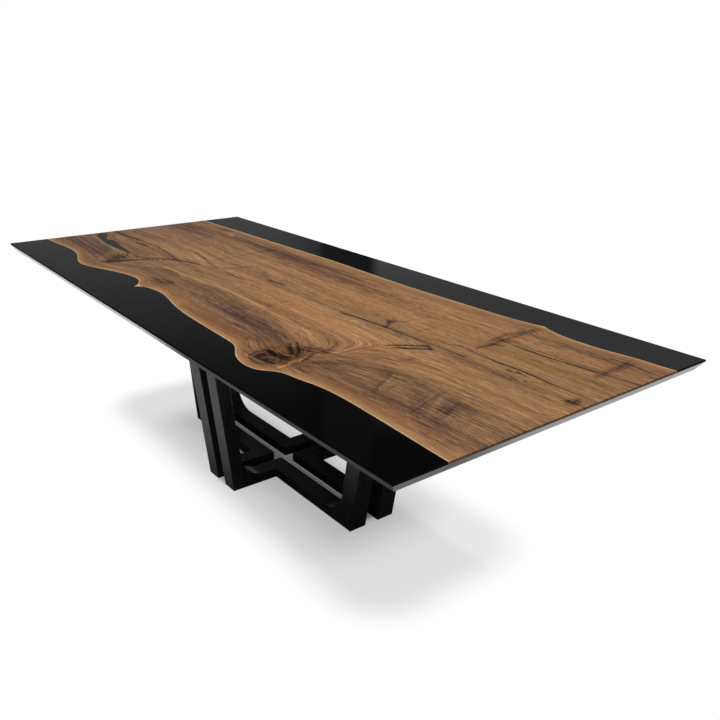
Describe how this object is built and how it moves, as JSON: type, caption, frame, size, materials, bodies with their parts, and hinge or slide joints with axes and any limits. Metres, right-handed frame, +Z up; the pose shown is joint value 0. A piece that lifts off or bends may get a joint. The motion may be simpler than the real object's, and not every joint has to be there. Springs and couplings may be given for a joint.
{
  "type": "dining table",
  "caption": "Long dining table with a live-edge walnut slab set between glossy black resin castings, on a black cross base of L-shaped frames with leaning posts.",
  "frame": {"origin": "on the floor under the middle of the top", "axes": "+X along the table's length towards the right end, +Y from the near long edge to the far long edge, +Z up"},
  "size_m": [2.8, 1.22, 0.75],
  "materials": {
    "walnut": "satin hard wax oil",
    "resin": "polished opaque black epoxy",
    "lacquer": "satin black lacquer over laminated hardwood",
    "plate_steel": "fine-textured black powder coat",
    "zinc": "zinc-plated",
    "brass": "turned",
    "key_wood": "bare beech",
    "felt": "pressed felt"
  },
  "bodies": {
    "root": {"walnut_slab": "walnut", "resin_near": "resin", "resin_far": "resin", "knot_fills": "resin", "crack_fills": "resin", "stiffener_left": "plate_steel", "stiffener_right": "plate_steel", "stiffener_screws": "zinc", "stiffener_inserts": "brass", "plate_left": "plate_steel", "plate_right": "plate_steel", "plate_near": "plate_steel", "plate_far": "plate_steel", "plate_bolts": "zinc", "plate_washers": "zinc", "plate_inserts": "brass", "post_screws": "zinc", "arm_long_near_left": "lacquer", "arm_long_near_right": "lacquer", "arm_long_far_left": "lacquer", "arm_long_far_right": "lacquer", "arm_short_near_left": "lacquer", "arm_short_near_right": "lacquer", "arm_short_far_left": "lacquer", "arm_short_far_right": "lacquer", "mitre_keys": "key_wood", "felt_glides": "felt"}
  },
  "joints": []
}
